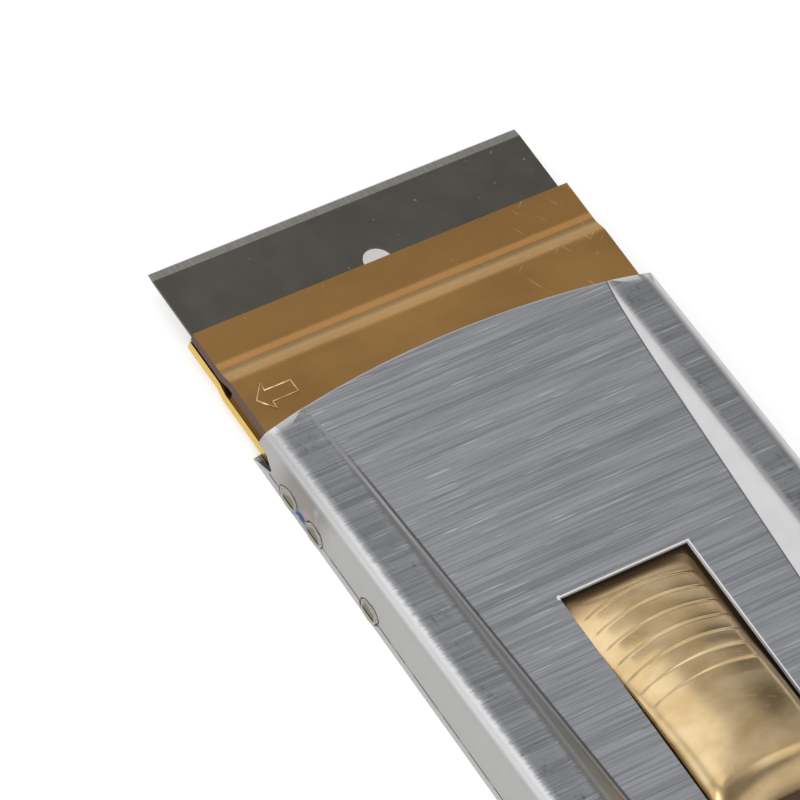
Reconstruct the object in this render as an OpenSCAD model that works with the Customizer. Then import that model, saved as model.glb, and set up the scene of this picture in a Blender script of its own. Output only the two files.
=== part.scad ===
// Retractable scraper for single-edge razor blades: a welded two-shell steel
// handle, a brass slide that carries the blade, and a ribbed thumb rest.
// X runs along the cutting edge, Y from the handle's rear to the edge, Z up.
// The origin is the middle of the handle's flat underside.

/* [Blade] */
// Length of the cutting edge
blade_l = 38.1; // [30:0.1:60]
// From the cutting edge to the back of the spine
blade_depth = 19.05; // [17:0.05:24]
// Thickness of the blade steel
blade_t = 0.23; // [0.2:0.01:0.5]
// Width of the ground bevels behind the edge
bevel_w = 0.8; // [0.3:0.1:2]
// Depth of the folded spine, front to back
spine_depth = 6; // [4.5:0.1:7]
// Thickness of the folded spine
spine_t = 0.95; // [0.8:0.01:1.6]
// Radius of the centre hole
hole_r = 1.45; // [0.8:0.05:2]
// From the cutting edge to the middle of the centre hole
hole_setback = 6.95; // [5:0.05:8]
// Width of the two end notches
notch_w = 2.84; // [1.5:0.02:4]
// Depth of the end notches, in from the blade's ends
notch_in = 3.2; // [2.2:0.1:6]
// From the cutting edge to the middle of the end notches
notch_setback = 9.05; // [7.5:0.05:10]
// How far the blade is drawn out of the slide, to the left
blade_out = 0; // [0:0.1:39.8]

/* [Brass slide] */
// Thickness of the brass sheet
brass_t = 0.8; // [0.5:0.05:1.2]
// How much the slide stands past each end of the blade
end_margin = 0.35; // [0:0.05:2]
// From the cutting edge back to the slide's front lips
lip_setback = 7.13; // [5:0.01:8.5]
// Length of the step between a lip and the spine's pocket
step_l = 1.6; // [0.6:0.05:2.5]
// How far the two plates run on behind the spine
plate_back = 15.5; // [10:0.5:20]
// Width of the slide's tail
tail_w = 18; // [14:0.5:24]
// How far the tail runs on behind the thumb rest
tail_margin = 2.5; // [1:0.1:8]
// Radius of the rivets that join the two plates
rivet_r = 1.2; // [0.8:0.05:2]
// Distance between the two rivets
rivet_spacing = 22; // [10:0.5:28]

/* [Thumb rest] */
// Length of the thumb rest
thumb_l = 23; // [18:0.5:30]
// Height of the ribbed part above the tail
thumb_h = 1.6; // [0.8:0.05:2.5]
// Height of the smooth hump behind the ribs, above the tail
hump_h = 1.85; // [1:0.05:4]
// Sheet thickness of the thumb rest
thumb_t = 0.5; // [0.3:0.05:0.7]
// Number of ribs
rib_count = 7; // [2:1:8]
// Distance from rib to rib
rib_pitch = 1.6; // [1.2:0.05:1.8]
// Height of a rib above the dome
rib_h = 0.25; // [0.1:0.05:0.5]

/* [Casing] */
// Length of the casing, from the crown of its front edge to its rear
casing_l = 98; // [92:1:140]
// How far the cutting edge stands ahead of the casing with the slide right out
reach = 16.6; // [14:0.1:20]
// Sheet thickness of the top shell
top_t = 0.6; // [0.4:0.05:1]
// Sheet thickness of the bottom shell
bottom_t = 0.6; // [0.4:0.05:1]
// Outer radius of the long bends of the top shell
top_bend_r = 1.3; // [0.7:0.05:2]
// Outer radius of the bends of the bottom shell
bottom_bend_r = 0.9; // [0.65:0.05:1.3]
// Height of the welded seam above the underside
seam_h = 1.5; // [1.35:0.05:2]
// How far the bottom shell's sides stand in from the top shell's, at the seam
seam_step = 0.1; // [0.02:0.01:0.2]
// Plan radius of the two rear corners
rear_corner_r = 6; // [3:0.5:12]
// How far the front edge bulges ahead of its corners
front_bulge = 2; // [0.5:0.1:4]
// Height of the side rails above the sunk panel
rail_rise = 2.8; // [1:0.1:4]
// Rise of the rails for each millimetre back from the front edge
rail_slope = 0.04; // [0.03:0.005:0.08]
// Distance from the middle to the inner edge of a rail
rail_x = 16.2; // [13:0.1:18]
// Slope of the panel's side flanks, in degrees
flank_angle = 32; // [20:1:45]
// Radius at which each flank rolls over into its rail
flank_r = 3; // [1:0.1:4]
// From the casing's rear to the rear end of the sunk panel
panel_rear = 9; // [6:0.5:14]
// Width of the thumb window
window_w = 13.3; // [11:0.1:16]
// From the crown of the front edge to the window
window_setback = 25.7; // [22:0.1:32]
// Length of the coined facet at each front corner
facet_l = 1.1; // [0.5:0.1:2]
// Drop of that facet at the corner
facet_drop = 0.2; // [0.05:0.05:0.45]
// Length of the open mouth at the front of each side wall
mouth_l = 2.3; // [1:0.1:4]

/* [Detent] */
// Width of the leaf spring
leaf_w = 6; // [4:0.5:10]
// Thickness of the leaf spring
leaf_t = 0.3; // [0.2:0.05:0.5]
// Length of the leaf spring
leaf_l = 22; // [18:0.5:30]
// Radius of the round bump under the leaf spring
bump_r = 1.3; // [0.8:0.05:1.8]
// Radius of the detent holes in the bottom shell
detent_r = 1; // [0.6:0.05:1.4]
// How far back the working position lies from the blade-change position
work_back = 4; // [3:0.1:8]

/* [Clearances] */
// Between the slide and each side wall
side_gap = 0.4; // [0.2:0.05:1]
// Between the slide and the bottom shell
floor_gap = 0.1; // [0.05:0.01:0.3]
// Between the slide and the top shell
roof_gap = 0.3; // [0.05:0.01:0.4]
// Between the blade or its spine and the brass on either face
blade_gap = 0.03; // [0.01:0.01:0.06]
// Between the spine's two edges and the steps of its pocket
pocket_gap = 0.1; // [0.05:0.01:0.3]
// Between the thumb rest and each end of its window
thumb_gap = 0.4; // [0.2:0.05:1]
// Between the thumb rest and each side of its window
thumb_side_gap = 0.5; // [0.3:0.05:1.5]
// How far the edge lies inside the casing when the slide is right back
edge_cover = 1.9; // [0.5:0.1:4]
// Radial play of the rivets and of the thumb rest's tabs
rivet_play = 0.02; // [0.01:0.01:0.05]

/* [Hidden] */
$fn = 48;
// Overrun that takes a cut past the faces it opens
over = 1;
// Flat steps in a pressed S-bend
bend_steps = 12;
// Flat steps in the roll at the top of each flank
flank_steps = 5;

// Heights, from the underside up
low_z = bottom_t + floor_gap;
pocket_z = low_z + brass_t;
spine_z = pocket_z + blade_gap;
blade_mid_z = spine_z + spine_t / 2;
plate_z = spine_z + spine_t + blade_gap;
lip_z = blade_mid_z + blade_t / 2 + blade_gap;
low_lip_z = blade_mid_z - blade_t / 2 - blade_gap - brass_t;
tail_z = plate_z + brass_t;
roof_z = tail_z + roof_gap;
panel_z = roof_z + top_t;
rail_z = panel_z + rail_rise;

// Widths
slide_w = blade_l + 2 * end_margin;
inner_w = slide_w + 2 * side_gap;
casing_w = inner_w + 2 * top_t;
bottom_w = casing_w - 2 * seam_step;
thumb_w = window_w - 2 * thumb_side_gap;

// Places along the handle
crown_y = casing_l / 2;
rear_y = -casing_l / 2;
corner_y = crown_y - front_bulge;
front_arc_r = (pow(casing_w / 2, 2) + pow(front_bulge, 2)) / (2 * front_bulge);
// A coined facet starts on the front arc, a little outside the inner edge of its rail
facet_x = rail_x + facet_l / 2;
facet_y = crown_y - front_arc_r + sqrt(pow(front_arc_r, 2) - pow(facet_x, 2));
facet_run = casing_w / 2 - facet_x;
facet_fall = facet_y - corner_y + facet_l;
facet_yaw = atan(facet_fall / facet_run);
facet_tilt = atan(facet_drop / (facet_l * cos(facet_yaw)));
edge_y = crown_y + reach;
travel = reach + front_bulge + edge_cover;
spine_front_y = edge_y - blade_depth + spine_depth;
spine_back_y = edge_y - blade_depth;
step_rear_y = spine_front_y + pocket_gap;
step_front_y = step_rear_y + step_l;
lip_y = edge_y - lip_setback;
plates_rear_y = spine_back_y - plate_back;
window_y = crown_y - window_setback;
thumb_y = window_y - thumb_gap;
window_rear_y = thumb_y - thumb_l - travel - thumb_gap;
tail_rear_y = thumb_y - thumb_l - tail_margin;

// Rivets sit in the middle of the overlap of the two plates
overlap_front_y = spine_back_y - pocket_gap - step_l;
rivet_y = (overlap_front_y + plates_rear_y) / 2;
rivet_head_r = rivet_r * 1.6;
rivet_head_t = brass_t / 2;

// The leaf spring hangs under the plates and its bump rides on the floor
leaf_bump_share = 0.64;
leaf_root_share = 0.3;
leaf_front_y = rivet_y + 2 * rivet_r;
leaf_rear_y = leaf_front_y - leaf_l;
leaf_root_z = tail_z - 2 * brass_t - leaf_t;
bump_y = leaf_front_y - leaf_l * leaf_bump_share;
bump_z = bottom_t + blade_gap;
bump_drop = bump_r / 3;
leaf_low_z = bump_z + bump_drop;
leaf_tip_z = (leaf_root_z + leaf_low_z) / 2;

// Where the hump, the first rib and the two tabs lie along the thumb rest
hump_share = 0.76;
first_rib_share = 0.06;
tab_shares = [0.12, 0.88];
// How strongly the thumb rest is domed, against its own width and length
dome_across_r = 1.7 * thumb_w;
dome_along_r = 4.5 * thumb_l;
hump_across_r = 1.3 * thumb_w;
hump_along_r = 0.9 * thumb_l;

rail_tilt = atan(rail_slope);
steel = [0.60, 0.61, 0.63];
steel_dark = [0.30, 0.30, 0.29];
steel_bright = [0.78, 0.78, 0.80];
brass_brown = [0.55, 0.41, 0.22];
brass_gold = [0.78, 0.64, 0.40];

// A smooth pressed step from 0 to 1
function s_step(u) = (1 - cos(180 * u)) / 2;

// Points of an S-bend that goes from one height to another between two places
function s_bend(y0, z0, y1, z1) =
    [for (i = [0 : bend_steps]) let (u = i / bend_steps) [y0 + (y1 - y0) * u, z0 + (z1 - z0) * s_step(u)]];

// A sheet's side outline: a line of [y, z] on its underside, and the same line one thickness up
function sheet_outline(line, t) =
    concat(line, [for (i = [len(line) - 1 : -1 : 0]) [line[i][0], line[i][1] + t]]);

// Pushes a side outline of [y, z] points across a width
module across(w) {
    rotate([90, 0, 90])
        translate([0, 0, -w / 2])
            linear_extrude(w)
                children();
}

// A flat outline with round rear corners, wide at the front
module plan(w, front, rear, corner) {
    translate([-w / 2, rear + corner])
        square([w, front - rear - corner]);
    translate([-w / 2 + corner, rear])
        square([w - 2 * corner, corner + over]);
    for (side = [-1, 1])
        translate([side * (w / 2 - corner), rear + corner])
            circle(corner);
}

// A strip with its two upper corners rounded, its top edge on the X axis
module rolled_strip(w, deep, r) {
    translate([-w / 2, -deep])
        square([w, deep - r]);
    translate([-w / 2 + r, -deep])
        square([w - 2 * r, deep]);
    for (side = [-1, 1])
        translate([side * (w / 2 - r), -r])
            circle(r);
}

// A slab with round rear corners, whose upper edges are rolled at the sides and the rear
module rolled_slab(w, front, rear, h, corner, r) {
    length = front - rear;
    intersection() {
        linear_extrude(h)
            plan(w, front, rear, corner);
        translate([0, front, h])
            rotate([90, 0, 0])
                linear_extrude(length)
                    rolled_strip(w, h + over, r);
        translate([-w, front, h])
            rotate([90, 0, 90])
                linear_extrude(2 * w)
                    rolled_strip(2 * length, h + over, r);
    }
}

// The bulged front edge, as a tall drum that everything ahead of it is cut by
module front_drum() {
    translate([0, crown_y - front_arc_r, -over])
        cylinder(r = front_arc_r, h = rail_z + 2 * over, $fn = 360);
}

// The long body under the rising rail tops, rolled along both sides
module rising_body(w, drop, r) {
    translate([0, crown_y, panel_z - drop])
        rotate([90 - rail_tilt, 0, 0])
            translate([0, 0, -3 * front_bulge])
                linear_extrude(casing_l + 6 * front_bulge)
                    rolled_strip(w, 2 * rail_z, r);
}

// The right side of the trough's cross-section, with the rail's top at zero: the flank
// rolls over into the rail, and its first chord runs on past the rail's top
function trough_side(grow) =
    let (r = flank_r - grow,
         high = 3 * rail_rise,
         deep = 2 * rail_rise,
         roll = [for (i = [0 : flank_steps]) let (a = flank_angle * i / flank_steps)
                 [rail_x - r * sin(a), r * cos(a) - flank_r]],
         lead = roll[0] + flank_steps * (roll[0] - roll[1]),
         last = roll[flank_steps])
    concat([[lead[0], high], lead],
           [for (i = [1 : flank_steps]) roll[i]],
           [[last[0] - (last[1] + deep) / tan(flank_angle), -deep]]);

// The space over the sunk panel: a wide trough that narrows to the rear
module trough(grow) {
    flank = 1 / tan(flank_angle);
    shift = grow / sin(flank_angle);
    high = 3 * rail_rise;
    rear = rear_y + panel_rear;
    side = trough_side(grow);
    intersection() {
        translate([0, crown_y, panel_z])
            rotate([90 - rail_tilt, 0, 0])
                translate([0, 0, -3 * front_bulge])
                    linear_extrude(casing_l + 3 * front_bulge)
                        polygon(concat(side, [for (i = [len(side) - 1 : -1 : 0]) [-side[i][0], side[i][1]]]));
        across(casing_w)
            polygon([[crown_y + 2 * front_bulge, panel_z - grow],
                     [rear - grow * tan(flank_angle / 2), panel_z - grow],
                     [rear - shift - high * flank, panel_z + high],
                     [crown_y + 2 * front_bulge, panel_z + high]]);
    }
}

// Steel top shell: folded sides and rear, rising rails, a sunk panel and the thumb window
module top_shell() {
    color(steel)
        difference() {
            intersection() {
                rolled_slab(casing_w, crown_y, rear_y, rail_z, rear_corner_r, top_bend_r);
                rising_body(casing_w, 0, top_bend_r);
                front_drum();
            }
            trough(0);
            // The hollow inside, one sheet thickness in
            difference() {
                intersection() {
                    rolled_slab(inner_w, crown_y + over, rear_y + top_t, rail_z - top_t,
                                rear_corner_r - top_t, top_bend_r - top_t);
                    rising_body(inner_w, top_t, top_bend_r - top_t);
                }
                trough(top_t);
            }
            // Everything below the seam belongs to the bottom shell
            translate([-casing_w, rear_y - over, -over])
                cube([2 * casing_w, casing_l + 2 * over, over + seam_h]);
            // Thumb window
            translate([-window_w / 2, window_rear_y, roof_z - over])
                cube([window_w, window_y - window_rear_y, rail_z]);
            // The front edge of each rail is coined down towards its corner
            for (side = [0, 1])
                mirror([side, 0, 0])
                    translate([facet_x, facet_y, panel_z])
                        rotate([0, 0, -facet_yaw])
                            rotate([-facet_tilt, 0, 0])
                                translate([-casing_w, -rail_z, 0])
                                    cube([2 * casing_w, 2 * rail_z, rail_z]);
            // Open mouth at the front of each side wall, where a spine can pass
            across(2 * casing_w)
                polygon([[corner_y - mouth_l, seam_h - over],
                         [corner_y - mouth_l, plate_z - mouth_l / 6],
                         [corner_y - mouth_l / 2, plate_z + spine_t / 2],
                         [crown_y + over, plate_z + spine_t / 2],
                         [crown_y + over, seam_h - over]]);
        }
}

// Steel bottom shell: a tray with low sides, clipped at its two front tips
module bottom_shell() {
    color(steel)
        difference() {
            intersection() {
                translate([0, 0, seam_h])
                    mirror([0, 0, 1])
                        rolled_slab(bottom_w, crown_y, rear_y + seam_step, seam_h,
                                    rear_corner_r - seam_step, bottom_bend_r);
                front_drum();
            }
            translate([0, 0, bottom_t])
                linear_extrude(seam_h)
                    plan(bottom_w - 2 * bottom_t, crown_y + over, rear_y + seam_step + bottom_t,
                         rear_corner_r - seam_step - bottom_t);
            // Clipped tips
            across(2 * casing_w)
                polygon([[corner_y - mouth_l, seam_h],
                         [corner_y, bottom_t],
                         [crown_y + over, bottom_t],
                         [crown_y + over, seam_h + over],
                         [corner_y - mouth_l, seam_h + over]]);
            // Holes that the spring's bump clicks into
            for (back = [0, work_back, travel])
                translate([0, bump_y - back, -over])
                    cylinder(r = detent_r, h = bottom_t + 2 * over);
        }
}

// A round hole for each plate rivet
module rivet_places() {
    for (side = [-1, 1])
        translate([side * rivet_spacing / 2, rivet_y, 0])
            children();
}

// Upper brass plate: a lip on the blade, a step over the spine, and the long tail
module slide_plate() {
    color(brass_brown)
        difference() {
            intersection() {
                across(slide_w)
                    polygon(sheet_outline(concat(
                        [[lip_y, lip_z]],
                        s_bend(step_front_y, lip_z, step_rear_y, plate_z),
                        [[tail_rear_y, plate_z]]), brass_t));
                linear_extrude(rail_z) {
                    plan(slide_w, lip_y, plates_rear_y, 2 * end_margin + 2 * brass_t);
                    plan(tail_w, lip_y, tail_rear_y, tail_w / 6);
                }
            }
            rivet_places()
                countersunk(rivet_play);
            translate([0, rivet_y, 0])
                cylinder(r = rivet_r + rivet_play, h = rail_z);
            thumb_tabs(rivet_play);
        }
}

// Lower brass plate: follows the blade and its spine, then rises to meet the upper plate
module lower_plate() {
    color(brass_brown)
        difference() {
            intersection() {
                across(slide_w)
                    polygon(sheet_outline(concat(
                        [[lip_y, low_lip_z]],
                        s_bend(step_front_y, low_lip_z, step_rear_y, low_z),
                        s_bend(spine_back_y - pocket_gap, low_z, overlap_front_y, plate_z - brass_t),
                        [[plates_rear_y, plate_z - brass_t]]), brass_t));
                linear_extrude(rail_z)
                    plan(slide_w, lip_y, plates_rear_y, 2 * end_margin + 2 * brass_t);
            }
            rivet_places()
                cylinder(r = rivet_r + rivet_play, h = rail_z);
            translate([0, rivet_y, 0])
                cylinder(r = rivet_r + rivet_play, h = rail_z);
        }
}

// A flush rivet's shank and countersunk head, with play around it for a hole
module countersunk(play) {
    cylinder(r = rivet_r + play, h = tail_z);
    translate([0, 0, tail_z - rivet_head_t])
        cylinder(r1 = rivet_r + play, r2 = rivet_head_r + play, h = rivet_head_t);
}

// Two brass rivets that join the plates, flush above and with a flat head below
module carrier_rivets() {
    color(brass_gold)
        rivet_places() {
            intersection() {
                countersunk(0);
                translate([0, 0, plate_z - brass_t])
                    cylinder(r = 2 * rivet_head_r, h = 2 * brass_t);
            }
            translate([0, 0, plate_z - brass_t - rivet_head_t])
                cylinder(r = rivet_head_r, h = rivet_head_t);
        }
}

// The thumb rest's flat outline, drawn in all round by an inset
module thumb_plan(inset) {
    round_r = thumb_w / 6;
    translate([0, thumb_y - thumb_l / 2])
        for (sx = [-1, 1], sy = [-1, 1]) {
            translate([sx * (thumb_w / 2 - round_r), sy * (thumb_l / 2 - round_r)])
                circle(round_r - inset);
        }
    translate([-thumb_w / 2 + round_r, thumb_y - thumb_l + inset])
        square([thumb_w - 2 * round_r, thumb_l - 2 * inset]);
    translate([-thumb_w / 2 + inset, thumb_y - thumb_l + round_r])
        square([thumb_w - 2 * inset, thumb_l - 2 * round_r]);
}

// A barrel that is round across the thumb and along it, with its crown at a place and height
module crowned(y, crown_z, across_r, along_r) {
    translate([0, y, crown_z - along_r])
        rotate([0, 90, 0])
            rotate_extrude($fn = 180)
                intersection() {
                    translate([along_r - across_r, 0])
                        circle(across_r, $fn = 120);
                    translate([0, -thumb_w])
                        square([along_r + across_r, 2 * thumb_w]);
                }
}

// The dome of the thumb rest, grown or drawn in by a thickness
module thumb_dome(grow) {
    crowned(thumb_y - thumb_l / 2, tail_z + thumb_h + grow, dome_across_r + grow, dome_along_r + grow);
    crowned(thumb_y - thumb_l * hump_share, tail_z + hump_h + grow,
            hump_across_r + grow, hump_along_r + grow);
}

// Two tabs under the thumb rest that pass through slots in the tail
module thumb_tabs(play) {
    tab_w = thumb_w / 3;
    for (share = tab_shares)
        translate([-tab_w / 2 - play, thumb_y - thumb_l * share - thumb_t / 2 - play, plate_z - thumb_t])
            cube([tab_w + 2 * play, thumb_t + 2 * play, rail_z]);
}

// Domed brass thumb rest: a pressed cap with crescent ribs and a smooth hump
module thumb_rest() {
    color(brass_gold) {
        difference() {
            intersection() {
                translate([0, 0, tail_z])
                    linear_extrude(rail_z)
                        thumb_plan(0);
                thumb_dome(0);
            }
            intersection() {
                translate([0, 0, tail_z - over])
                    linear_extrude(rail_z)
                        thumb_plan(thumb_t);
                thumb_dome(-thumb_t);
            }
        }
        crescent_ribs();
        intersection() {
            thumb_tabs(0);
            thumb_dome(0);
        }
    }
}

// Crescent ribs, bulging to the front
module crescent_ribs() {
    rib_r = 2.2 * thumb_w;
    rib_w = rib_pitch / 2;
    for (i = [0 : rib_count - 1])
        intersection() {
            translate([0, thumb_y - thumb_l * first_rib_share - i * rib_pitch - rib_r, tail_z])
                difference() {
                    cylinder(r = rib_r, h = rail_z, $fn = 120);
                    translate([0, 0, -over])
                        cylinder(r = rib_r - rib_w, h = rail_z + 2 * over, $fn = 120);
                    translate([-thumb_w, -2 * rib_r, -over])
                        cube([2 * thumb_w, 2 * rib_r, rail_z + 2 * over]);
                }
            translate([0, 0, tail_z])
                linear_extrude(rail_z)
                    thumb_plan(2 * thumb_t);
            crowned(thumb_y - thumb_l / 2, tail_z + thumb_h + rib_h,
                    dome_across_r + rib_h, dome_along_r + rib_h);
        }
}

// Steel leaf spring: flat where it is riveted, then bowed down to its round bump
module detent_spring() {
    root_y = leaf_front_y - leaf_l * leaf_root_share;
    color(steel_bright)
        difference() {
            union() {
                across(leaf_w)
                    polygon(sheet_outline(concat(
                        [[leaf_front_y, leaf_root_z]],
                        s_bend(root_y, leaf_root_z, bump_y, leaf_low_z),
                        s_bend(bump_y - leaf_t, leaf_low_z, leaf_rear_y, leaf_tip_z)), leaf_t));
                intersection() {
                    translate([0, bump_y, bump_z + bump_r])
                        sphere(bump_r);
                    translate([-bump_r, bump_y - bump_r, bump_z])
                        cube([2 * bump_r, 2 * bump_r, bump_drop + leaf_t]);
                }
            }
            translate([0, rivet_y, 0])
                cylinder(r = rivet_r + rivet_play, h = rail_z);
        }
}

// Brass rivet that holds the leaf spring under the two plates
module spring_rivet() {
    color(brass_gold)
        translate([0, rivet_y, 0]) {
            translate([0, 0, leaf_root_z])
                cylinder(r = rivet_r, h = tail_z - leaf_root_z);
            translate([0, 0, leaf_root_z - rivet_head_t])
                cylinder(r = rivet_head_r, h = rivet_head_t);
        }
}

// Single-edge blade: ground on both faces, with a centre hole and two end notches
module blade() {
    sheet_back_y = spine_back_y + (spine_t - blade_t) / 2;
    notch_x = blade_l / 2 - notch_in + notch_w / 2;
    color(steel_dark)
        translate([-blade_out, 0, blade_mid_z])
            difference() {
                across(blade_l)
                    polygon([[edge_y, 0],
                             [edge_y - bevel_w, blade_t / 2],
                             [sheet_back_y, blade_t / 2],
                             [sheet_back_y, -blade_t / 2],
                             [edge_y - bevel_w, -blade_t / 2]]);
                translate([0, edge_y - hole_setback, -over])
                    cylinder(r = hole_r, h = 2 * over);
                for (side = [-1, 1]) {
                    translate([side * notch_x, edge_y - notch_setback, -over])
                        cylinder(r = notch_w / 2, h = 2 * over);
                    translate([side * (notch_x + notch_in / 2), edge_y - notch_setback, 0])
                        cube([notch_in, notch_w, 2 * over], center = true);
                }
            }
}

// Folded steel spine, rolled at the back and staked to the blade near its two ends
module blade_spine() {
    fold_r = spine_t / 2;
    stake_r = spine_depth / 6;
    stake_deep = (spine_t - blade_t) / 6;
    color(steel_bright)
        translate([-blade_out, 0, blade_mid_z])
            difference() {
                union() {
                    translate([-blade_l / 2, spine_back_y + fold_r, 0])
                        rotate([0, 90, 0])
                            cylinder(r = fold_r, h = blade_l);
                    translate([-blade_l / 2, spine_back_y + fold_r, -fold_r])
                        cube([blade_l, spine_depth - fold_r, spine_t]);
                }
                translate([-blade_l, spine_back_y + (spine_t - blade_t) / 2, -blade_t / 2])
                    cube([2 * blade_l, spine_depth, blade_t]);
                for (side = [-1, 1])
                    translate([side * (blade_l / 2 - 2 * stake_r), spine_back_y + spine_depth / 2,
                               fold_r - stake_deep]) {
                        cylinder(r = stake_r, h = spine_t);
                        translate([side * stake_r / 2, 0, spine_t / 2])
                            cube([stake_r, 2 * stake_r, spine_t], center = true);
                    }
            }
}

top_shell();
bottom_shell();
slide_plate();
lower_plate();
carrier_rivets();
thumb_rest();
detent_spring();
spring_rivet();
blade();
blade_spine();
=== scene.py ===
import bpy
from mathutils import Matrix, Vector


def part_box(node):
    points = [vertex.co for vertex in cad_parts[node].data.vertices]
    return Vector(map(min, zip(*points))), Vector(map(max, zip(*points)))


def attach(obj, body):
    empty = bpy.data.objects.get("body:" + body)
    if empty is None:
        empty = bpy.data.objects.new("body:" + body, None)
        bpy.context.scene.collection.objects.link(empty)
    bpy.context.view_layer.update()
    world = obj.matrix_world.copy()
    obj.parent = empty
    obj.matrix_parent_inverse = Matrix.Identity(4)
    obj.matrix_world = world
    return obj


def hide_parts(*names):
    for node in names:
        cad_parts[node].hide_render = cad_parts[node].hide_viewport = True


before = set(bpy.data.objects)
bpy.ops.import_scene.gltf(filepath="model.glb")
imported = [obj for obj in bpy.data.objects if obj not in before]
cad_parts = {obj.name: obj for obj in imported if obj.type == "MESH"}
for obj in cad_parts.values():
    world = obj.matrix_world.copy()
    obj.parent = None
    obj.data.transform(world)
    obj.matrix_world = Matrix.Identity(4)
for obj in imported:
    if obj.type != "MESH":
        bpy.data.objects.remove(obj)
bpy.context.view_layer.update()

import math
import bpy
from mathutils import Matrix, Vector

mm = 0.001


# The studio: a long lens over the handle's left rear, as the photograph was taken,
# a white sweep for floor and background, a big softbox overhead and three smaller ones.
camera_azimuth, camera_elevation, camera_roll = (math.radians(d) for d in (-52.78, 51.54, 23.09))
camera_target = Vector((-5.12, 47.10, 0.0)) * mm
camera_distance = 510.3 * mm
camera_near, camera_far = 10 * mm, 20.0
photo_width = 800
focal_pixels = 6183.6
sensor_width = 36

to_right = Vector((math.cos(camera_azimuth), math.sin(camera_azimuth), 0))
to_camera = Vector((math.sin(camera_azimuth) * math.cos(camera_elevation),
                    -math.cos(camera_azimuth) * math.cos(camera_elevation),
                    math.sin(camera_elevation)))
to_up = to_camera.cross(to_right)
roll = Matrix.Rotation(camera_roll, 3, to_camera)
axes = Matrix((roll @ to_right, roll @ to_up, to_camera)).transposed().to_4x4()

lens = bpy.data.cameras.new("photo_lens")
lens.sensor_width = sensor_width
lens.lens = focal_pixels / photo_width * sensor_width
lens.clip_start, lens.clip_end = camera_near, camera_far
camera = bpy.data.objects.new("photo_camera", lens)
camera.matrix_world = Matrix.Translation(camera_target + to_camera * camera_distance) @ axes
bpy.context.collection.objects.link(camera)
bpy.context.scene.camera = camera
bpy.context.scene.view_settings.view_transform = "Standard"


class Number:
    """A number inside a material: each Python operator used on it adds its Math node."""

    def __init__(self, nodes, socket):
        self.nodes, self.socket = nodes, socket

    def maths(self, operation, *others):
        return self.nodes.add("ShaderNodeMath", {"operation": operation}, [self, *others])

    def reflected(self, operation, other):
        return self.nodes.add("ShaderNodeMath", {"operation": operation}, [other, self])

    def __add__(self, other): return self.maths("ADD", other)
    def __sub__(self, other): return self.maths("SUBTRACT", other)
    def __mul__(self, other): return self.maths("MULTIPLY", other)
    def __pow__(self, other): return self.maths("POWER", other)
    def __radd__(self, other): return self.reflected("ADD", other)
    def __rsub__(self, other): return self.reflected("SUBTRACT", other)
    def __rmul__(self, other): return self.reflected("MULTIPLY", other)
    def __abs__(self): return self.maths("ABSOLUTE")
    def at_least(self, other): return self.maths("MAXIMUM", other)
    def at_most(self, other): return self.maths("MINIMUM", other)

    def over(self, low, high):
        """0 below low, 1 above high, with a smooth rise between; with high under low it falls."""
        if high < low:
            return 1 - self.over(high, low)
        return self.nodes.add("ShaderNodeMapRange", {"interpolation_type": "SMOOTHSTEP"},
                              [self, low, high, 0, 1])

    def near(self, middle, reach, soft):
        """1 within reach of the middle, falling to 0 over the soft width outside."""
        return abs(self - middle).over(reach + soft, reach)

    def between(self, low, risen, fall, high):
        """1 from risen to fall, and 0 below low and above high."""
        return self.over(low, risen) * self.over(high, fall)

    def sibling(self, name):
        """Another output of the same node."""
        return Number(self.nodes, self.socket.node.outputs[name])


class Nodes:
    """A node tree, to which nodes are added one at a time."""

    def __init__(self, tree):
        self.tree = tree

    def add(self, kind, settings, inputs, output=0):
        """Adds one node: its settings first, then the values or links of its sockets."""
        node = self.tree.nodes.new(kind)
        for name, setting in settings.items():
            setattr(node, name, setting)
        for key, given in (inputs.items() if isinstance(inputs, dict) else enumerate(inputs)):
            if isinstance(given, Number):
                self.tree.links.new(given.socket, node.inputs[key])
            else:
                node.inputs[key].default_value = given
        return None if output is None else Number(self, node.outputs[output])

    def along(self, vector):
        """The X, Y and Z of a vector."""
        x = self.add("ShaderNodeSeparateXYZ", {}, [vector])
        return x, x.sibling("Y"), x.sibling("Z")

    def layers(self, colour, *coats):
        """Lays coats over a colour, one on the other: each is its share and its colour."""
        for share, coat in coats:
            colour = self.add("ShaderNodeMix", {"data_type": "RGBA"},
                              {0: share, 6: colour, 7: coat}, 2)
        return colour


class Finish(Nodes):
    """A material under construction, with its one Principled shader."""

    def __init__(self, name, constants):
        self.material = bpy.data.materials.new(name)
        self.material.use_nodes = True
        super().__init__(self.material.node_tree)
        self.shader = self.tree.nodes["Principled BSDF"]
        for socket, setting in constants.items():
            self.shader.inputs[socket].default_value = setting

    def feed(self, socket, number):
        self.tree.links.new(number.socket, self.shader.inputs[socket])

    def place(self, scale=(1, 1, 1), turn=0.0):
        """Object coordinates in millimetres, turned about Z and then stretched."""
        here = self.add("ShaderNodeTexCoord", {}, [], "Object")
        if turn:
            here = self.add("ShaderNodeMapping", {}, {"Vector": here, "Rotation": (0, 0, turn)})
        return self.add("ShaderNodeMapping", {}, {"Vector": here, "Scale": [s / mm for s in scale]})

    def noise(self, scale, detail=2, turn=0.0, roughness=0.5):
        """Noise from 0 to 1 with that many features a millimetre along each axis."""
        return self.add("ShaderNodeTexNoise", {}, {"Vector": self.place(scale, turn), "Scale": 1.0,
                                                   "Detail": detail, "Roughness": roughness})

    def mesh_normal(self):
        return self.add("ShaderNodeNewGeometry", {}, [], "Normal")

    def bump(self, height, strength, distance, normal=None):
        """A relief of that many millimetres, on the mesh's normal or on the one given."""
        given = {"Height": height, "Strength": strength, "Distance": distance * mm}
        if normal:
            given["Normal"] = normal
        self.feed("Normal", self.add("ShaderNodeBump", {}, given))


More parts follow.
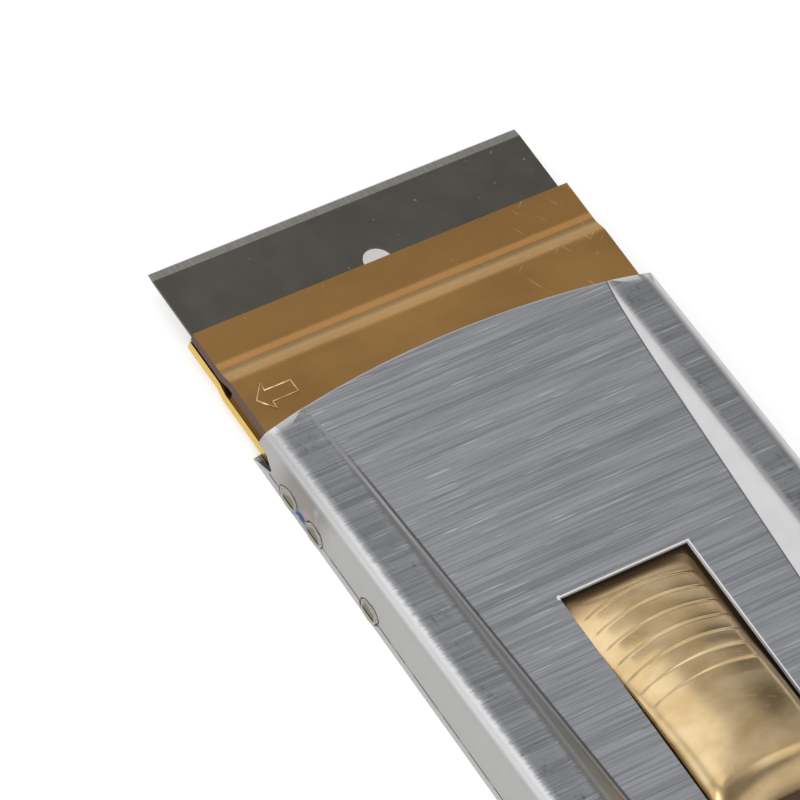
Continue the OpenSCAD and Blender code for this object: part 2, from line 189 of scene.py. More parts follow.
# The sweep: white paper that camera and reflections see as white, and that takes a shadow
floor_size = 3.0
floor_drop = 0.05 * mm
floor_white = (0.86, 0.86, 0.86, 1)
floor_glow = 0.47
bpy.ops.object.select_all(action="DESELECT")
bpy.ops.mesh.primitive_plane_add(size=floor_size, location=(0, 0, -floor_drop))
floor = bpy.context.object
floor.name = "floor"
paper = Finish("floor_paper",
               {"Base Color": floor_white, "Roughness": 0.9, "Specular IOR Level": 0.0})
ray = paper.add("ShaderNodeLightPath", {}, [], "Is Camera Ray")
sees_white = ray.at_least(ray.sibling("Is Glossy Ray")).at_least(ray.sibling("Is Transmission Ray"))
glow = paper.add("ShaderNodeEmission", {}, {"Strength": sees_white * floor_glow})
lit_paper = paper.add("ShaderNodeAddShader", {}, [Number(paper, paper.shader.outputs[0]), glow])
paper.tree.links.new(lit_paper.socket, paper.tree.nodes["Material Output"].inputs["Surface"])
floor.data.materials.append(paper.material)

# The room is white at the level of the sweep, and greyer overhead and behind the camera. It
# has a dark box on the right above the horizon, and a bright patch on the right high overhead.
horizon_light, ceiling_light, ceiling_z = 0.95, 0.62, (0.30, 0.75)
dark_box_share, dark_box_x = 0.90, (0.54, 0.66)
dark_box_y, dark_box_z = (0.22, 0.34, 0.42, 0.48), (0.20, 0.27, 0.60, 0.74)
dark_rear_share, dark_rear_y, dark_rear_z = 0.55, (-0.05, -0.40), (0.45, 0.65)
patch_light, patch_z = 0.75, (0.6, 0.7)
patch_x, patch_y = (0.56, 0.16, 0.14), (-0.16, 0.20, 0.16)
world = bpy.data.worlds.new("studio")
world.use_nodes = True
bpy.context.scene.world = world
world.node_tree.nodes.clear()
room = Nodes(world.node_tree)
x, y, z = room.along(room.add("ShaderNodeTexCoord", {}, [], "Generated"))
dark_box = x.over(*dark_box_x) * y.between(*dark_box_y) * z.between(*dark_box_z)
dark_rear = y.over(*dark_rear_y) * z.over(*dark_rear_z)
light = horizon_light + z.over(*ceiling_z) * (ceiling_light - horizon_light)
light = light * (1 - dark_box * dark_box_share) * (1 - dark_rear * dark_rear_share)
light = light + x.near(*patch_x) * y.near(*patch_y) * z.over(*patch_z) * patch_light
backdrop = room.add("ShaderNodeBackground", {}, {"Strength": light})
room.add("ShaderNodeOutputWorld", {}, {"Surface": backdrop}, None)

# Each softbox: its direction from the object, its two sides and its brightness
object_middle = Vector((0, 45, 0)) * mm
softbox_distance = 0.60
softboxes = {
    "softbox_overhead": ((-0.20, 0.38, 0.90), 0.62, 0.42, 0.65),
    "softbox_back": ((0.46, 0.76, 0.46), 0.22, 0.11, 0.8),
    "softbox_left": ((-0.84, 0.30, 0.45), 0.30, 0.20, 0.35),
    "softbox_fill": ((-0.75, -0.45, 0.48), 0.50, 0.40, 2.2),
}
for name, (towards, long_side, short_side, brightness) in softboxes.items():
    lamp = bpy.data.lights.new(name, "AREA")
    lamp.shape = "RECTANGLE"
    lamp.size, lamp.size_y = long_side, short_side
    lamp.energy = brightness * math.pi * long_side * short_side
    away = Vector(towards).normalized()
    lamp_object = bpy.data.objects.new(name, lamp)
    lamp_object.matrix_world = (Matrix.Translation(object_middle + away * softbox_distance)
                                @ away.to_track_quat("Z", "Y").to_matrix().to_4x4())
    bpy.context.collection.objects.link(lamp_object)


# The casing: two shells of plated steel sheet, spot-welded along a low seam. Only the
# faces that a belt can reach are brushed, straight across; flanks, bends and walls are smooth.
# The places on it are in millimetres, as they are inside every material.
crown_y, front_curve, facet_l = 49.0, 105.0, 1.1
rail_x, rail_slope, rail_rise, panel_z = 16.2, 0.04, 2.8, 4.21
flank_r, flank_angle = 3.0, math.radians(32)
wall_x, bend_r, soft_bend_r = 20.4, 1.3, 1.8
seam_z, tray_front = 1.5, 44.5
window_half, window_front, window_rear = 6.65, 23.3, -21.0
window_rim, window_rim_soft, window_burr = 0.12, 0.04, 0.26
weld_places, weld_z = (41.9, 38.2, 30.0), 1.68
weld_half_length, weld_half_height = 1.40, 0.92

# The heat tints between the front two welds: middle along Y and up Z, half length, half height
blue_tint, pink_tint = (40.05, seam_z + 0.15, 1.10, 0.62), (39.5, seam_z + 0.90, 1.0, 0.75)

# The stretches along Y over which a mark grows from nothing to full, and where the left
# wall's stain has its middle, how far it reaches and how softly it ends
facet_stretch, flank_spread = (40, 42), (36, 47)
bend_shine, left_crease = (46, 29), (46, 38)
wall_stain = (40.5, 1.5, 3.0)

steel_brushed, steel_brushed_dark = (0.482, 0.492, 0.517, 1), (0.313, 0.320, 0.339, 1)
steel_scratch, steel_smudge = (0.80, 0.81, 0.83, 1), (0.13, 0.132, 0.14, 1)
steel_smooth, steel_dull = (0.59, 0.59, 0.59, 1), (0.51, 0.51, 0.505, 1)
steel_bend_highlight, steel_wall_front = (0.74, 0.74, 0.745, 1), (0.25, 0.235, 0.22, 1)
steel_wall, steel_dark_marks_and_crease_shade = (0.400, 0.396, 0.386, 1), (0.07, 0.07, 0.07, 1)
steel_painted_inside_shade, steel_shade = (0.045, 0.040, 0.032, 1), (0.16, 0.165, 0.155, 1)
steel_cut, steel_front_highlight = (0.93, 0.93, 0.94, 1), (0.80, 0.79, 0.77, 1)
weld_olive, weld_pale = (0.20, 0.185, 0.135, 1), (0.42, 0.41, 0.375, 1)
weld_slit, heat_pink = (0.030, 0.022, 0.015, 1), (0.58, 0.30, 0.31, 1)
heat_blue, heat_teal = (0.022, 0.055, 0.21, 1), (0.22, 0.31, 0.36, 1)


def oval(along, up, middle_along, middle_up, half_length, half_height):
    """0 at the middle of an oval on a face, 1 on its outline."""
    along, up = (along - middle_along) * (1 / half_length), (up - middle_up) * (1 / half_height)
    return (along * along + up * up) ** 0.5


class CasingSteel(Finish):
    """Plated sheet: brushed across X where it faces up, smooth elsewhere, burnt at the welds."""

    def __init__(self, name):
        super().__init__(name, {})
        self.x, self.y, self.z = self.along(self.place())
        self.face_x, self.face_y, self.face_z = self.along(self.mesh_normal())
        self.side = abs(self.x)
        self.left = self.x.over(0.1, -0.1)
        self.wall = self.side.over(wall_x - 0.5, wall_x - 0.12)
        self.upright = self.face_z.over(0.6, 0.3)
        self.mottle = self.noise((0.5, 0.5, 0.5), 3)
        self.find_flanks()
        self.find_front()
        self.find_tray()
        self.find_window()
        self.brush()
        self.feed("Base Color", self.finished_colour())
        self.polish()
        self.round_off()

    def find_flanks(self):
        """The flank's foot runs inwards as the rail rises to the rear."""
        rise = self.rise = (crown_y - self.y) * rail_slope
        roll_drop = flank_r * (1 - math.cos(flank_angle))
        roll_run = (rise * (2 * flank_r) - rise * rise).at_least(0.0) ** 0.5
        straight_run = ((rise - roll_drop) * (1 / math.tan(flank_angle))
                        + flank_r * math.sin(flank_angle))
        run = roll_run + (straight_run - roll_run) * rise.over(roll_drop - 0.01, roll_drop + 0.01)
        self.past_foot = self.side - (rail_x - run)

    def find_front(self):
        """The facets at the front corners, and their front edge, which is rolled over."""
        self.from_front = crown_y - self.y - self.x * self.x * (0.5 / front_curve)
        self.facet = (self.face_y.over(0.08, 0.13) * self.face_z.over(0.75, 0.85)
                      * self.y.over(*facet_stretch))
        self.rolled = self.facet * self.from_front.over(facet_l, 0.15)

    def find_tray(self):
        """The inside of the bottom shell, and the tip of its side at the mouth."""
        self.inside = (self.z.over(seam_z - 0.1, seam_z - 0.3) * self.face_z.over(0.7, 0.9)
                       * self.side.over(wall_x - 0.75, wall_x - 1.0))
        self.tip = (self.z.over(seam_z, seam_z - 0.1) * self.y.over(tray_front, tray_front + 0.2)
                    * self.face_z.over(0.3, 0.5) * (1 - self.inside))

    def find_window(self):
        """The punched edge of the thumb window, and round it a thin painted highlight along the
        front and right edges, with a bright burr at the front left corner.
        """
        window = (self.side.over(window_half + 0.3, window_half + 0.2)
                  * self.y.between(window_rear - 0.4, window_rear - 0.3,
                                   window_front + 0.3, window_front + 0.4)
                  * self.z.over(panel_z - 0.8, panel_z - 0.7))
        half_rim, rim_end = window_rim / 2, window_rim + window_rim_soft
        rim_highlight_beside = (self.x.near(window_half + half_rim, half_rim, window_rim_soft)
                      * self.y.over(window_front + rim_end, window_front + window_rim))
        rim_highlight_ahead = (self.y.near(window_front + half_rim, half_rim, window_rim_soft)
                     * self.side.over(window_half + rim_end, window_half + window_rim))
        burr = oval(self.x, self.y, -window_half, window_front, window_burr, window_burr)
        self.cut = window * self.upright
        self.rim = (window * (1 - self.upright)
                    * (rim_highlight_beside + rim_highlight_ahead + burr.over(1.0, 0.8)).at_most(1.0))

    def brush(self):
        """The brushed faces, their streaks, and their ragged borders at each flank and bend."""
        side, left = self.side, self.left
        fine = self.noise((0.08, 6.5, 6.5), 3, roughness=0.7)
        broad = self.noise((0.035, 1.5, 1.5), 2, roughness=0.6)
        ragged = (self.noise((0.3, 5.0, 5.0), 3) - 0.5) * 1.3

        # It reaches further in over the left flank, and over the right one towards the front
        reach = left * 0.67 + (1 - left) * self.y.over(*flank_spread) * 0.45 - 0.12
        flank_end = side + ragged * (0.5 - left * 0.2) + reach
        flank = self.past_foot.over(-0.02, 0.03) * flank_end.over(rail_x + 0.20, rail_x - 0.35)
        bend = side + ragged * (0.25 + left * 0.25) - left * 0.3
        self.brushed = (self.face_z.over(0.5, 0.7) * (1 - self.rolled) * (1 - flank)
                        * (1 - bend.over(wall_x - 1.75, wall_x - 1.2)))
        self.streaks = (fine * 0.72 + broad * 0.28).over(0.36, 0.64)
        self.grain = fine * 0.7 + broad * 0.3

    def brushed_colour(self):
        """Streaks and bright scratches, with smudges and pits on the rails."""
        scratch = self.noise((0.16, 5.0, 5.0), 1).over(0.68, 0.74)
        rail = self.side.over(rail_x - 0.6, rail_x + 0.4)
        smudge = self.noise((0.9, 0.6, 0.6), 4, roughness=0.7).over(0.57, 0.72) * rail
        pits = self.noise((1.1, 2.2, 2.2), 3, roughness=0.7).over(0.66, 0.74) * rail
        return self.layers(
            steel_brushed_dark,
            (self.streaks, steel_brushed),
            (scratch * 0.7, steel_scratch),
            (rail * 0.28 + smudge * 0.5, steel_smudge),
            (pits * 0.4, steel_dark_marks_and_crease_shade))

    def smooth_colour(self):
        """Mottled sheet, duller on the walls, with a painted highlight on the left bend and painted
        shade on the left flank.
        """
        side, left, mottle, wall = self.side, self.left, self.mottle, self.wall
        left_bend_highlight = left * side.near(wall_x - 1.05, 0.35, 0.55) * self.y.over(*bend_shine)
        left_flank_shade = left * self.past_foot.over(0.45, 0.75) * side.over(rail_x + 0.5, rail_x)
        stain = wall * self.y.near(*wall_stain) * mottle.over(0.15, 0.45)
        return self.layers(
            steel_smooth,
            (mottle.over(0.3, 0.8) * 0.35, steel_dull),
            (left_bend_highlight, steel_bend_highlight),
            (left_flank_shade * 0.6, steel_shade),
            (wall, steel_wall),
            (stain * 0.9, steel_wall_front))

    def seam_coats(self):
        """The seam between the shells, the spot welds on it and the tint between the front two."""
        y, z, wall, upright = self.y, self.z, self.wall, self.upright
        ripple = (self.noise((0.0, 1.1, 1.1), 2) - 0.5) * 0.8
        front, second, third = (oval(y, z, place, weld_z, weld_half_length, weld_half_height)
                                for place in weld_places)
        spots = front.at_most(second).at_most(third)
        spots = spots + ripple * spots.over(1.3, 0.7)
        blue = oval(y, z, *blue_tint) + ripple
        seam_breaks = self.noise((0.7, 0.7, 0.7), 2).over(0.42, 0.50)
        lower_shell = z.over(seam_z - 0.02, seam_z - 0.08) * upright
        seam = z.near(seam_z, 0.10, 0.08) * upright * (0.5 + seam_breaks * 0.45)
        inner_line = spots.near(0.76, 0.02, 0.04) * z.over(seam_z, seam_z + 0.1) * wall
        # A painted highlight along the lower part of each weld, just under the seam
        glint = z.near(seam_z - 0.22, 0.05, 0.08) * spots.over(0.65, 0.45) * wall
        slit = z.near(seam_z, 0.08, 0.10) * spots.over(0.80, 0.55) * wall
        return [
            (lower_shell * 0.45, steel_dull),
            (oval(y, z, *pink_tint).over(1.0, 0.4) * wall * 0.32, heat_pink),
            (seam, weld_slit),
            (spots.over(1.0, 0.9) * wall, weld_pale),
            (spots.over(0.78, 0.40) * wall, weld_olive),
            (spots.near(0.95, 0.035, 0.05) * wall * 0.85, weld_slit),
            (inner_line * 0.5, weld_slit),
            (glint * 0.8, weld_pale),
            (slit, weld_slit),
            (blue.over(1.1, 0.75) * wall * 0.55, heat_teal),
            (blue.over(0.85, 0.40) * wall * 0.95, heat_blue)]

    def finished_colour(self):
        """Everything laid on the smooth sheet, from the brushing to the window's cut edge."""
        side, left, cut, tip = self.side, self.left, self.cut, self.tip
        # Painted highlights on the front corner facets and along the rolled front edge
        corner_shine = (self.facet * self.from_front.over(0.80, 0.20)
                        * side.over(rail_x - 1, rail_x + 1))
        edge_shine = self.from_front.over(0.16, 0.06) * self.face_z.over(0.5, 0.7)
        # Painted shade in the crease at the foot of each flank
        crease_shade = (self.x.over(0, 1) * self.past_foot.near(0, 0.03, 0.07)
                  + self.x.over(0, -1) * self.past_foot.near(0.05, 0.10, 0.14)
                  * self.y.over(*left_crease))
        return self.layers(
            self.smooth_colour(),
            (self.brushed, self.brushed_colour()),
            # Painted shade, near black, inside the bottom shell and on the inner side of the tip at
            # the mouth
            (self.inside, steel_painted_inside_shade),
            (tip, steel_cut),
            (tip * side.over(wall_x - 0.22, wall_x - 0.30), steel_painted_inside_shade),
            (corner_shine * (0.85 - left * 0.3), steel_front_highlight),
            (edge_shine * 0.55, steel_front_highlight),
            (crease_shade * 0.75, steel_dark_marks_and_crease_shade),
            *self.seam_coats(),
            # The bare cut face of the window, and the painted highlight line and burr round it
            (cut.at_least(self.rim), steel_cut),
            (cut * self.z.near(panel_z - 0.16, 0.03, 0.04) * 0.6, steel_dark_marks_and_crease_shade),
            # Painted shade, near black, on the lower part of the window's cut face
            (cut * self.z.over(panel_z - 0.28, panel_z - 0.36), steel_painted_inside_shade))

    def polish(self):
        """How metallic and how rough the sheet is."""
        bare = self.cut.at_least(self.rim).at_least(self.tip)
        self.feed("Metallic", 1 - bare * 0.8 - self.inside * 0.6)
        cloud = self.noise((0.12, 0.12, 0.12), 2)
        satin = self.side.over(wall_x - 1.6, wall_x - 1.2).at_least(
            self.left * self.side.over(rail_x - 3, rail_x - 2))
        rough_brushed = 0.30 + self.streaks * 0.10 + cloud * 0.06
        rough_smooth = 0.16 + self.mottle * 0.12 + satin * 0.12 + self.cut * 0.3 + self.inside * 0.3
        self.feed("Roughness", rough_smooth + self.brushed * (rough_brushed - rough_smooth))

    def round_off(self):
        """The true roundness of the bends and rolls, which the mesh has in flat steps."""
        side, turn = self.side, self.x.maths("SIGN")
        top_z = self.rise.at_most(rail_rise) + panel_z
        into_bend = ((side - (wall_x - soft_bend_r)) * (1 / soft_bend_r)).at_least(0.0).at_most(1.0)
        into_roll = ((rail_x - side) * (1 / flank_r)).at_least(0.0).at_most(math.sin(flank_angle))
        on_bend = ((self.z - top_z).over(-bend_r - 0.3, -bend_r - 0.1)
                   * (self.face_x * turn).over(-0.1, -0.05)
                   * side.over(wall_x - soft_bend_r - 0.01, wall_x - soft_bend_r)
                   * self.z.over(seam_z, seam_z + 0.05))
        on_roll = (self.past_foot.over(0, 0.01) * side.over(rail_x + 0.01, rail_x)
                   * self.face_z.over(0.6, 0.7) * (1 - self.facet))
        lean = (into_bend - into_roll) * turn
        upward = (1 - lean * lean).at_least(0.0) ** 0.5
        true_normal = self.add("ShaderNodeCombineXYZ", {}, [lean, upward * rail_slope, upward])
        share = (on_bend + on_roll + self.facet - self.rolled).at_most(1.0)
        normal = self.add("ShaderNodeMix", {"data_type": "VECTOR"},
                          {0: share, 4: self.mesh_normal(), 5: true_normal}, 1)
        relief = self.brushed * self.grain + (1 - self.brushed) * self.mottle * 0.35
        self.bump(relief, 0.35, 0.03, normal)


def wear(node, finish):
    """Puts a finish on a CAD node."""
    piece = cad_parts[node]
    piece.data.materials.clear()
    piece.data.materials.append(finish.material)


casing = CasingSteel("casing_steel")
wear("top_shell", casing)
wear("bottom_shell", casing)


# The spot welds that hold the two shells together along the seam: a low oval bead of
# fused steel over each, three to a side, the front two close together.
weld_stands_out = 0.10


def closed_shape(name, finish):
    """Names the shape that bpy.ops just made, gives it a finish and fixes its place in its mesh."""
    bpy.ops.object.mode_set(mode="OBJECT")
    piece = bpy.context.object
    piece.name = name
    bpy.ops.object.transform_apply(location=True, rotation=True, scale=True)
    piece.data.materials.clear()
    piece.data.materials.append(finish.material)
    bpy.ops.object.select_all(action="DESELECT")
    return piece


weld_middles = [Vector((side * wall_x, place, weld_z)) * mm
                for side in (-1, 1) for place in weld_places]
bpy.ops.mesh.primitive_uv_sphere_add(segments=48, ring_count=24, radius=mm,
                                     location=weld_middles[0])
bpy.context.object.scale = (weld_stands_out, weld_half_length, weld_half_height)
bpy.ops.object.shade_smooth()
welds = [bpy.context.object]
for here, there in zip(weld_middles, weld_middles[1:]):
    bpy.ops.object.duplicate_move(TRANSFORM_OT_translate={"value": there - here})
    welds.append(bpy.context.object)
for weld in welds:
    weld.select_set(True)
bpy.ops.object.join()
closed_shape("spot_welds", casing)
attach(bpy.context.object, "casing")


# The blade slide: two plates of bare brass sheet riveted together, satin and darkened to
# tan, with a painted highlight on the crest of the step, and handling scratches at the right end.
brass_tan, brass_dark = (0.468, 0.258, 0.089, 1), (0.381, 0.207, 0.071, 1)
brass_bright, brass_painted_shade = (0.86, 0.62, 0.33, 1), (0.085, 0.050, 0.024, 1)
brass_foot_reflection, brass_crest_highlight = (0.80, 0.41, 0.155, 1), (0.47, 0.335, 0.175, 1)
brass_upper_end_dark_reflection, brass_lower_end_highlight = (0.105, 0.062, 0.052, 1), (0.72, 0.50, 0.13, 1)
thumb_front_y, step_y = 22.9, 54.1
scratched_end, scratch_turns = (2.0, 14.0), (math.radians(62), math.radians(-35))
shade_half_width, shade_stretch_y = 7.2, (thumb_front_y - 12, 12.6, 0.3)


def sheet_brass(name, end_reflection):
    """Satin sheet: tarnish, specks, short scratches, painted light on the step and on the cut ends,
    and painted shade round the rest.
    """
    finish = Finish(name, {})
    x, y = finish.along(finish.place())[:2]
    cloud = finish.noise((0.10, 0.22, 0.22), 3)
    grain = finish.noise((0.5, 6.0, 6.0), 2)
    specks = finish.noise((2.4, 2.4, 2.4), 1).over(0.735, 0.79)
    nicks = (finish.noise((0.35, 7.0, 7.0), 1, scratch_turns[0]).over(0.72, 0.77)
             + finish.noise((0.30, 6.0, 6.0), 1, scratch_turns[1]).over(0.75, 0.80))
    marks = (nicks * (0.12 + x.over(*scratched_end) * 0.75) + specks * 0.5).at_most(1.0)
    lip = y.over(step_y + 0.9, step_y + 1.3)
    foot_reflection = y.near(step_y + 0.65, 0.15, 0.3)
    crest_highlight = y.between(step_y - 1.7, step_y - 0.1, step_y + 0.14, step_y + 0.28)
    cut_end = abs(finish.along(finish.mesh_normal())[0]).over(0.7, 0.9)
    painted_shade = abs(x).over(shade_half_width + 0.4, shade_half_width) * y.near(*shade_stretch_y)
    finish.feed("Base Color", finish.layers(
        brass_dark,
        (cloud.over(0.3, 0.7) * (1 - lip * 0.6), brass_tan),
        (marks * 0.7, brass_bright),
        # a painted reflection, redder, in the concave foot of the step
        (foot_reflection * 0.7, brass_foot_reflection),
        # a painted highlight on the crest of the step and the slope behind it
        (crest_highlight * 0.6, brass_crest_highlight),
        # the cut ends carry a painted reflection: dark on the upper plate, bright on the lower
        (cut_end, end_reflection),
        # painted shade round the thumb rest, ahead of it and along its sides
        (painted_shade, brass_painted_shade)))
    finish.feed("Metallic", 1 - painted_shade * 0.7)
    finish.feed("Roughness", 0.26 + grain * 0.10 + cloud * 0.05)
    finish.bump(grain * 0.3 + marks, 0.25, 0.02)
    return finish


wear("slide_plate", sheet_brass("slide_brass", brass_upper_end_dark_reflection))
wear("lower_plate", sheet_brass("slide_brass_lower", brass_lower_end_highlight))


# The arrow pressed into the upper plate, which points the way that the blade is put in:
# a fine raised outline on the plate, close to its left end.
tail_top = 3.31 * mm
arrow_tip, arrow_barb, arrow_back = -18.4 * mm, -17.2 * mm, -14.6 * mm
arrow_middle = 50.45 * mm
arrow_half_head, arrow_half_shaft = 1.32 * mm, 0.62 * mm
arrow_line = 0.09 * mm
arrow_dull, arrow_bright = (0.60, 0.37, 0.15, 1), (0.90, 0.66, 0.36, 1)
arrow_outline = [(arrow_tip, 0), (arrow_barb, arrow_half_head), (arrow_barb, arrow_half_shaft),
                 (arrow_back, arrow_half_shaft), (arrow_back, -arrow_half_shaft),
                 (arrow_barb, -arrow_half_shaft), (arrow_barb, -arrow_half_head)]
bpy.ops.mesh.primitive_circle_add(vertices=len(arrow_outline), radius=arrow_half_head)
for corner, (x, y) in zip(bpy.context.object.data.vertices, arrow_outline):
    corner.co = (x, arrow_middle + y, tail_top)
bpy.ops.object.convert(target="CURVE")
bpy.context.object.data.bevel_depth = arrow_line
bpy.context.object.data.bevel_resolution = 2
bpy.ops.object.convert(target="MESH")
bpy.ops.object.shade_smooth()
arrow_brass = Finish("arrow_brass", {"Metallic": 1.0})
arrow_rub = arrow_brass.noise((1.2, 1.2, 1.2), 2)
arrow_brass.feed("Base Color",
                 arrow_brass.layers(arrow_dull, (arrow_rub.over(0.3, 0.7), arrow_bright)))
arrow_brass.feed("Roughness", 0.20 + arrow_rub * 0.15)
arrow = closed_shape("slide_arrow", arrow_brass)
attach(arrow, "slide")


# The thumb rest: a domed cap pressed from brass sheet and polished by handling, with
# crescent ribs that overlap like shingles and a low hump behind them. It stands on the
# slide's tail, held by two tabs.
thumb_gold, thumb_tan = (0.82, 0.62, 0.36, 1), (0.66, 0.47, 0.24, 1)
thumb_painted_shade = (0.19, 0.100, 0.041, 1)
front_shade_stretch, right_shade_stretch = (thumb_front_y - 2.4, thumb_front_y), (4.5, 6.2)
thumb_brass = Finish("thumb_brass", {})
x, y = thumb_brass.along(thumb_brass.place())[:2]
rubbed = thumb_brass.noise((0.25, 0.45, 0.45), 3)
scuff = thumb_brass.noise((0.5, 6.0, 6.0), 2, math.radians(15)).over(0.64, 0.74)
# Painted shade darkens the front end and the right side of the rest, under the window's edges
edge_shade = (y.over(*front_shade_stretch) * 0.9).at_least(x.over(*right_shade_stretch) * 0.75)
thumb_brass.feed("Base Color", thumb_brass.layers(
    thumb_tan,
    (rubbed.over(0.3, 0.7), thumb_gold),
    (scuff * 0.35, brass_bright),
    (edge_shade, thumb_painted_shade)))
thumb_brass.feed("Metallic", 1 - edge_shade * 0.7)
thumb_brass.feed("Roughness", 0.17 + rubbed * 0.10)
thumb_brass.bump(scuff + rubbed * 0.5, 0.15, 0.02)
wear("carrier_rivets", thumb_brass)
wear("spring_rivet", thumb_brass)

thumb_low, thumb_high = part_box("thumb_rest")
thumb_half_width = (window_half - 0.2) * mm
thumb_front, thumb_rear = thumb_high[1], thumb_low[1]
thumb_length = thumb_front - thumb_rear
thumb_corner = 0.8 * mm
thumb_rim = tail_top + 0.10 * mm
thumb_columns, thumb_rows = 40, 230
dome_top, dome_middle = tail_top + 1.6 * mm, thumb_front - thumb_length / 2
dome_across, dome_along = 20.9 * mm, 103.5 * mm
side_roll, front_roll, end_roll = 1.8 * mm, 1.3 * mm, 3.0 * mm
hump_top, hump_middle = tail_top + 2.6 * mm, thumb_front - 0.76 * thumb_length
hump_across, hump_along = 18.0 * mm, 45.0 * mm
saddle = 0.12 * mm
rib_count, rib_pitch, rib_height = 7, 1.6 * mm, 0.16 * mm
rib_radius = 4.4 * thumb_half_width
first_rib = thumb_front - 0.06 * thumb_length
rib_face, rib_back_power = 0.18, 1.35
rib_border, rib_fade = 0.25 * mm, 1.5 * mm
flatter_from, flatter_over, flatter_share = 3.5, 2, 0.65


def smooth_rise(share):
    """0 below 0, 1 above 1, with a smooth rise between."""
    share = min(max(share, 0), 1)
    return share * share * (3 - 2 * share)


def crowned_height(x, y, top, middle, across, along):
    """The height of a surface that is round across the thumb and along it."""
    away = min(abs(y - middle), along)
    fall_across = across - math.sqrt(across ** 2 - x ** 2)
    return top - fall_across - along + math.sqrt(along ** 2 - away ** 2)


def crescent_sag(x):
    """How far a crescent through the middle of the rest falls back at x."""
    return rib_radius - math.sqrt(rib_radius ** 2 - x ** 2)


def rib_profile(ribs_back):
    """The share of a rib's height that many ribs back: steep in front, gentle behind."""
    if not 0 <= ribs_back < rib_count:
        return 0
    share = ribs_back % 1
    height = 1 - flatter_share * smooth_rise((ribs_back - flatter_from) / flatter_over)
    if share < rib_face:
        return height * smooth_rise(share / rib_face)
    return height * (1 - (share - rib_face) / (1 - rib_face)) ** rib_back_power


def thumb_point(across, back):
    """The place on the rest of a grid point, given from -1 to 1 across and from 0 to 1 back."""
    y = thumb_front - thumb_length * back
    into_corner = thumb_corner - min(thumb_front - y, y - thumb_rear, thumb_corner)
    half_width = thumb_half_width - thumb_corner + math.sqrt(thumb_corner ** 2 - into_corner ** 2)
    x = across * half_width

    # Between the straight ends, the rows of the grid follow the crescents
    from_front_end = smooth_rise((thumb_front - y) / (thumb_front - first_rib))
    y -= crescent_sag(x) * (from_front_end * smooth_rise((y - thumb_rear) / end_roll))

    # The dome and the hump run into each other, and roll down to the rim all round
    dome = crowned_height(x, y, dome_top, dome_middle, dome_across, dome_along)
    hump = crowned_height(x, y, hump_top, hump_middle, hump_across, hump_along)
    z = (dome + hump) / 2 + math.sqrt(((dome - hump) / 2) ** 2 + saddle ** 2)
    from_side = half_width - abs(x)
    from_end = min(y - thumb_rear, thumb_front - y)
    end_share = min((y - thumb_rear) / end_roll, (thumb_front - y) / front_roll)
    into_side, into_end = (min(max(share, 0), 1) for share in (from_side / side_roll, end_share))
    side_round, end_round = math.sqrt(into_side * (2 - into_side)), 1 - (1 - into_end) ** 2
    z = thumb_rim + (z - thumb_rim) * side_round * end_round

    ribs_back = (first_rib - y - crescent_sag(x)) / rib_pitch
    fade = smooth_rise((min(from_side, from_end) - rib_border) / rib_fade)
    z += rib_height * rib_profile(ribs_back) * fade
    return x, y, max(z, thumb_rim)


bpy.ops.mesh.primitive_grid_add(x_subdivisions=thumb_columns, y_subdivisions=thumb_rows, size=2)
for corner in bpy.context.object.data.vertices:
    corner.co = thumb_point(corner.co.x, (1 - corner.co.y) / 2)
bpy.ops.object.mode_set(mode="EDIT")
bpy.ops.mesh.select_all(action="DESELECT")
bpy.ops.mesh.select_non_manifold()
bpy.ops.mesh.extrude_region_move(TRANSFORM_OT_translate={"value": (0, 0, -rib_height)})
bpy.ops.object.mode_set(mode="OBJECT")
for corner in bpy.context.object.data.vertices:
    if corner.select:
        corner.co.z = tail_top
bpy.ops.object.mode_set(mode="EDIT")
bpy.ops.mesh.edge_face_add()
bpy.ops.mesh.select_all(action="SELECT")
bpy.ops.mesh.normals_make_consistent(inside=False)
bpy.ops.object.mode_set(mode="OBJECT")
bpy.ops.object.shade_smooth_by_angle(angle=math.radians(40))
thumb_rest = closed_shape("thumb_rest_pressed", thumb_brass)
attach(thumb_rest, "slide")
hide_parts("thumb_rest")


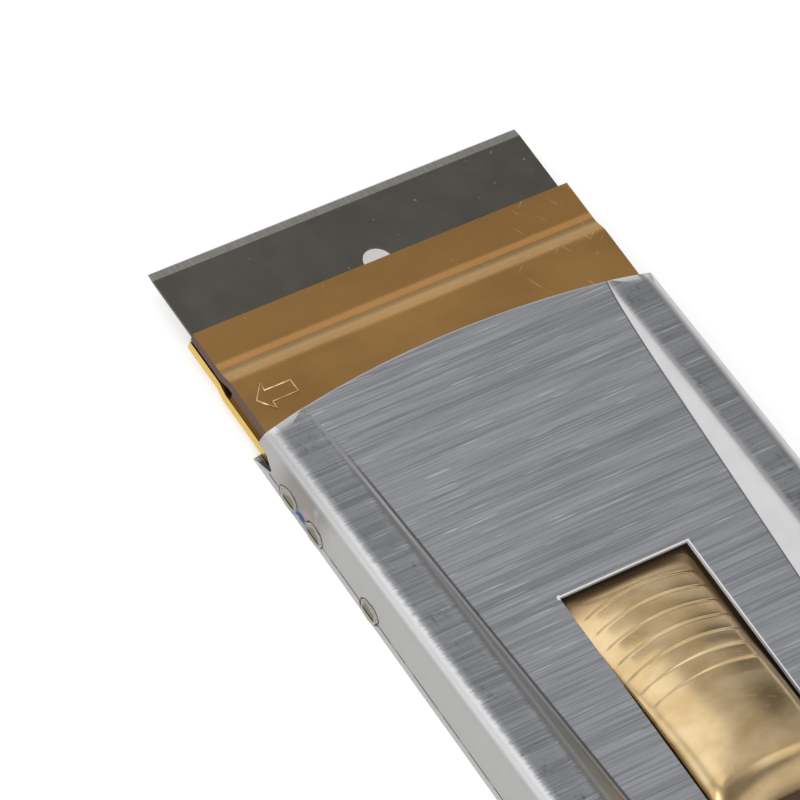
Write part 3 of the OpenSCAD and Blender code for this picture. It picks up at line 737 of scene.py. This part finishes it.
# The leaf spring: a strip of blued spring steel, riveted under the slide's plates. Only
# its bump shows, in a hole of the bottom shell.
spring = Finish("spring_steel", {"Metallic": 1.0, "Base Color": (0.30, 0.31, 0.34, 1)})
spring.feed("Roughness", 0.25 + spring.noise((0.4, 4.0, 4.0), 2) * 0.2)
wear("detent_spring", spring)


# The blade: dark oiled steel strip with ground bevels, finely scratched across by the
# grinding wheel, in a bright steel spine that is folded and staked on its back.
blade_dark, blade_cloud = (0.135, 0.127, 0.110, 1), (0.152, 0.142, 0.125, 1)
bevel_dark, bevel_ground = (0.245, 0.238, 0.224, 1), (0.33, 0.32, 0.305, 1)
blade_speck, bevel_edge = (0.4, 0.4, 0.4, 1), (0.7, 0.7, 0.68, 1)
spine_dull, spine_bright = (0.42, 0.42, 0.40, 1), (0.50, 0.50, 0.48, 1)
edge_y, bevel_start = 65.6, 64.78
blade = Finish("blade_steel", {"Metallic": 1.0})
y = blade.along(blade.place())[1]
bevel = y.over(bevel_start - 0.03, bevel_start + 0.03)
grinding = blade.noise((7.0, 0.4, 0.4), 2)
mottle = blade.noise((0.35, 0.35, 0.35), 4)
specks = blade.noise((1.7, 1.7, 1.7), 1).over(0.755, 0.80)
bevel_colour = blade.layers(
    bevel_dark,
    (grinding.over(0.35, 0.7), bevel_ground),
    (y.over(edge_y - 0.10, edge_y - 0.02), bevel_edge))
blade.feed("Base Color", blade.layers(
    blade_dark,
    (mottle.over(0.3, 0.7), blade_cloud),
    (specks * 0.6, blade_speck),
    (bevel, bevel_colour)))
blade.feed("Roughness", 0.22 + mottle * 0.12 + bevel * (0.08 + grinding * 0.1))
blade.bump(mottle * 0.4 + bevel * grinding, 0.15, 0.01)
wear("blade", blade)

spine = Finish("spine_steel", {"Metallic": 1.0})
spine_mottle = spine.noise((0.4, 0.4, 0.4), 3)
spine.feed("Base Color", spine.layers(spine_dull, (spine_mottle.over(0.3, 0.7), spine_bright)))
spine.feed("Roughness", 0.10 + spine_mottle * 0.10)
spine.bump(spine_mottle, 0.1, 0.02)
wear("blade_spine", spine)
